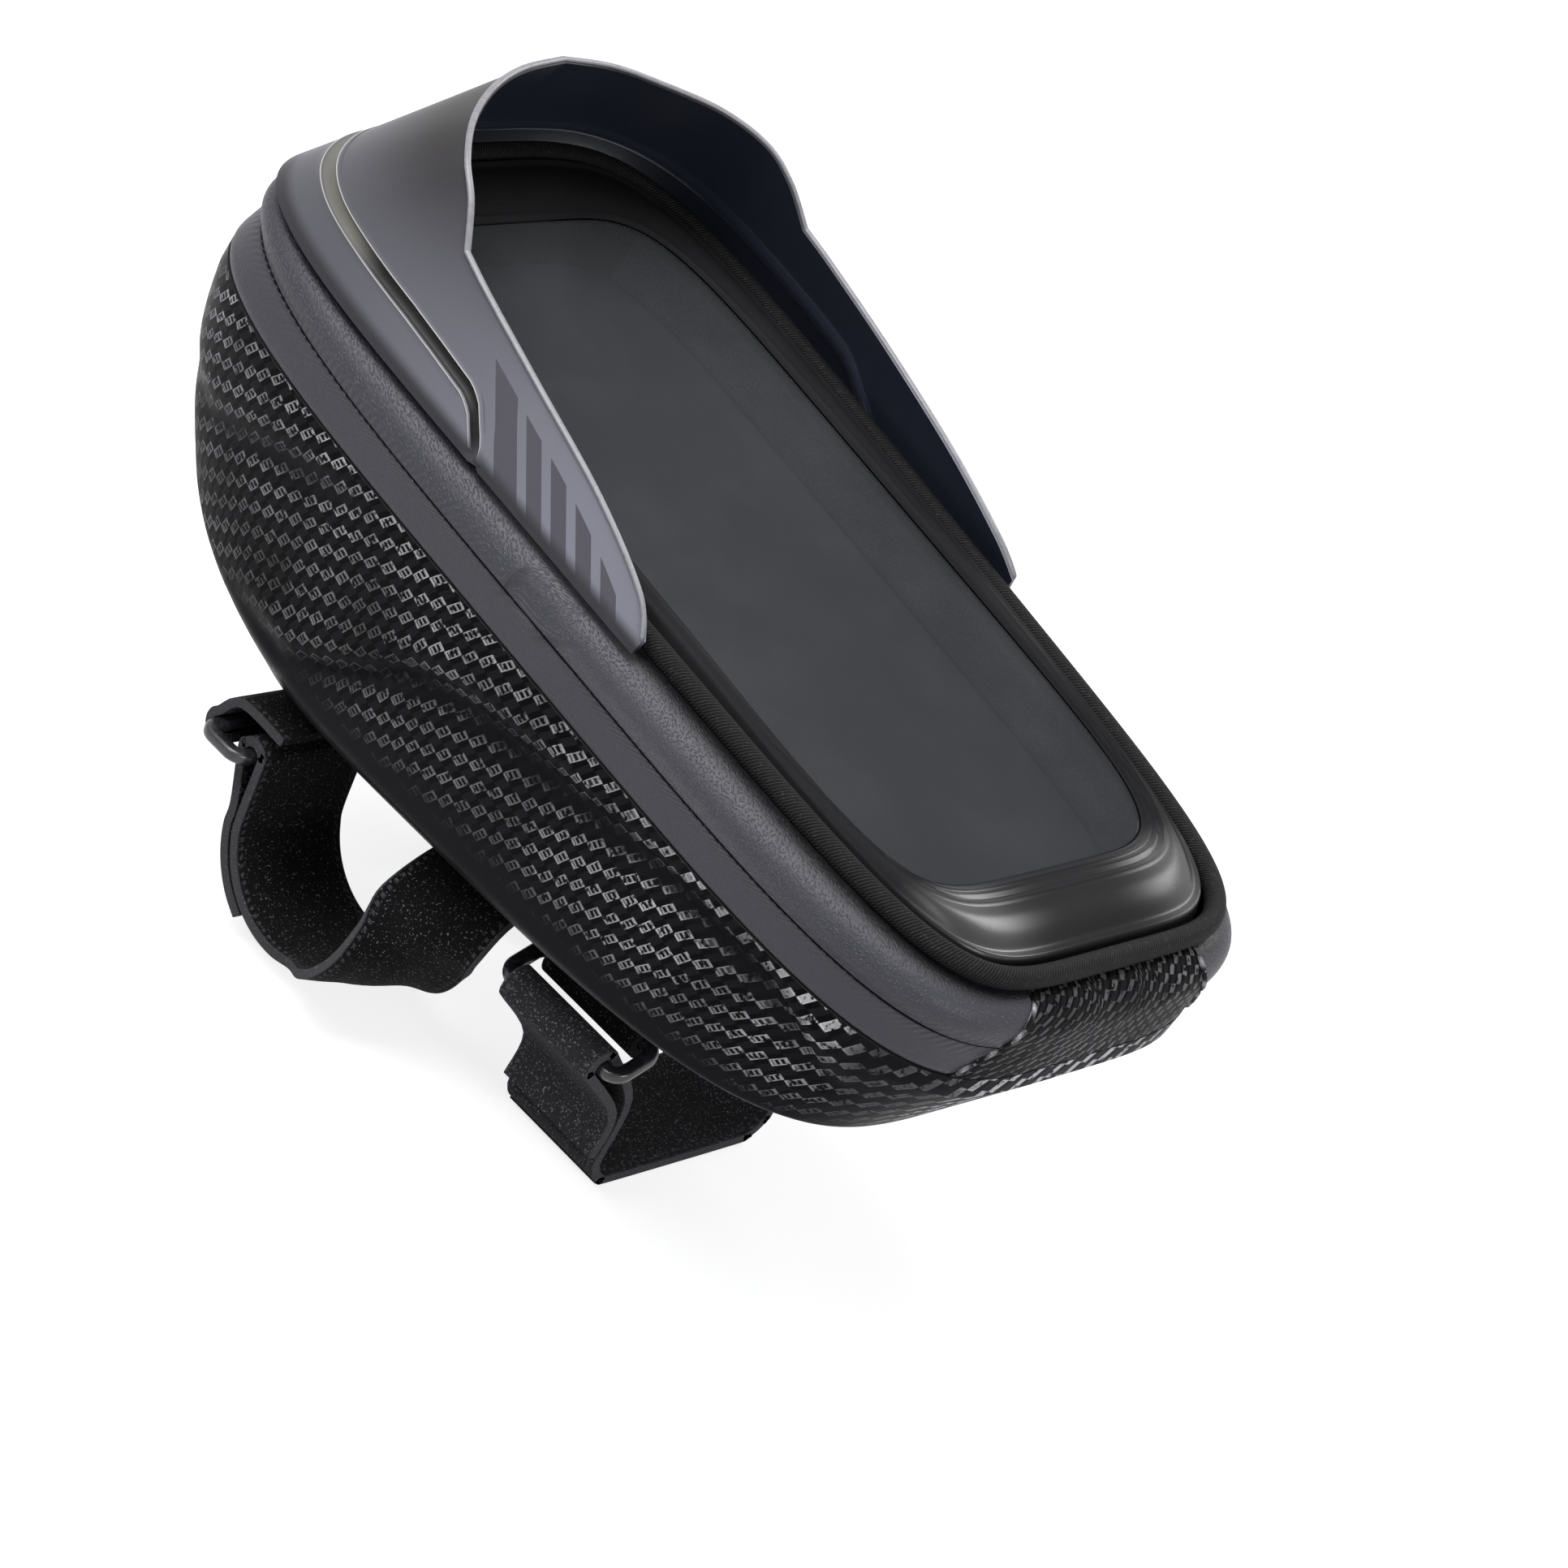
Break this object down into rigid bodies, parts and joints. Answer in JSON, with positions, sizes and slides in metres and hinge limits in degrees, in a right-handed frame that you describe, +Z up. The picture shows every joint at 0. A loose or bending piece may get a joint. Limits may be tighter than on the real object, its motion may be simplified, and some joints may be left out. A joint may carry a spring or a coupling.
{
  "type": "bike phone bag",
  "caption": "Moulded bag for a bicycle's handlebar and stem, with a zipped lid, a clear phone window, a sun visor and hook-and-loop straps.",
  "frame": {"origin": "middle of the flat base, which rests on the bicycle's stem", "axes": "+Y points forward, away from the rider, +Z up, +X to the rider's right"},
  "size_m": [0.109, 0.2068, 0.1499],
  "materials": {
    "carbon_weave": "coated fabric with a pressed weave over moulded foam board",
    "band_slate": "fine-grained coated fabric over moulded foam",
    "piping_black": "ribbed cloth over a cord",
    "border_satin": "satin moulded",
    "film_clear": "clear soft film",
    "visor_grey": "satin moulded sheet",
    "zip_black": "woven",
    "slider_metal": "dark coated",
    "pull_rubber": "matte moulded",
    "foam_black": "cloth-faced foam",
    "lining_grey": "brushed lining",
    "strap_black": "hook-and-loop webbing",
    "ring_gloss": "gloss moulded"
  },
  "bodies": {
    "bag": {"shell": "carbon_weave", "shell_band": "band_slate", "zip_tape_shell": "zip_black", "zip_teeth_shell": "zip_black", "bar_strap_left": "strap_black", "bar_strap_right": "strap_black", "bar_ring_left": "ring_gloss", "bar_ring_right": "ring_gloss", "ring_tab_left": "strap_black", "ring_tab_right": "strap_black", "stem_strap": "strap_black", "stem_ring": "ring_gloss", "stem_ring_tab": "strap_black"},
    "lid": {"lid_band": "band_slate", "hinge_panel": "carbon_weave", "zip_tape_lid": "zip_black", "zip_teeth_lid": "zip_black", "window_border": "border_satin", "window_film": "film_clear", "piping": "piping_black", "visor": "visor_grey", "pocket_rim": "foam_black", "pocket_back": "lining_grey", "pocket_tab": "strap_black"},
    "left_slider": {"slider_left": "slider_metal"},
    "right_slider": {"slider_right": "slider_metal"},
    "left_pull": {"pull_left": "pull_rubber"},
    "right_pull": {"pull_right": "pull_rubber"}
  },
  "joints": [
    {"name": "lid_hinge", "type": "hinge", "parent": "bag", "child": "lid", "pos_m": [0, -0.11637, 0.03461], "axis": [1, 0, 0], "range_deg": [0, 100]},
    {"name": "left_slider_run", "type": "slide", "parent": "bag", "child": "left_slider", "axis": [-1, 0, 0], "range_m": [0, 0.014]},
    {"name": "right_slider_run", "type": "slide", "parent": "bag", "child": "right_slider", "axis": [1, 0, 0], "range_m": [0, 0.014]},
    {"name": "left_pull_swing", "type": "hinge", "parent": "left_slider", "child": "left_pull", "pos_m": [-0.0055, 0.08749, 0.07455], "axis": [1, 0, 0], "range_deg": [0, 150]},
    {"name": "right_pull_swing", "type": "hinge", "parent": "right_slider", "child": "right_pull", "pos_m": [0.0055, 0.08749, 0.07455], "axis": [1, 0, 0], "range_deg": [0, 150]}
  ]
}
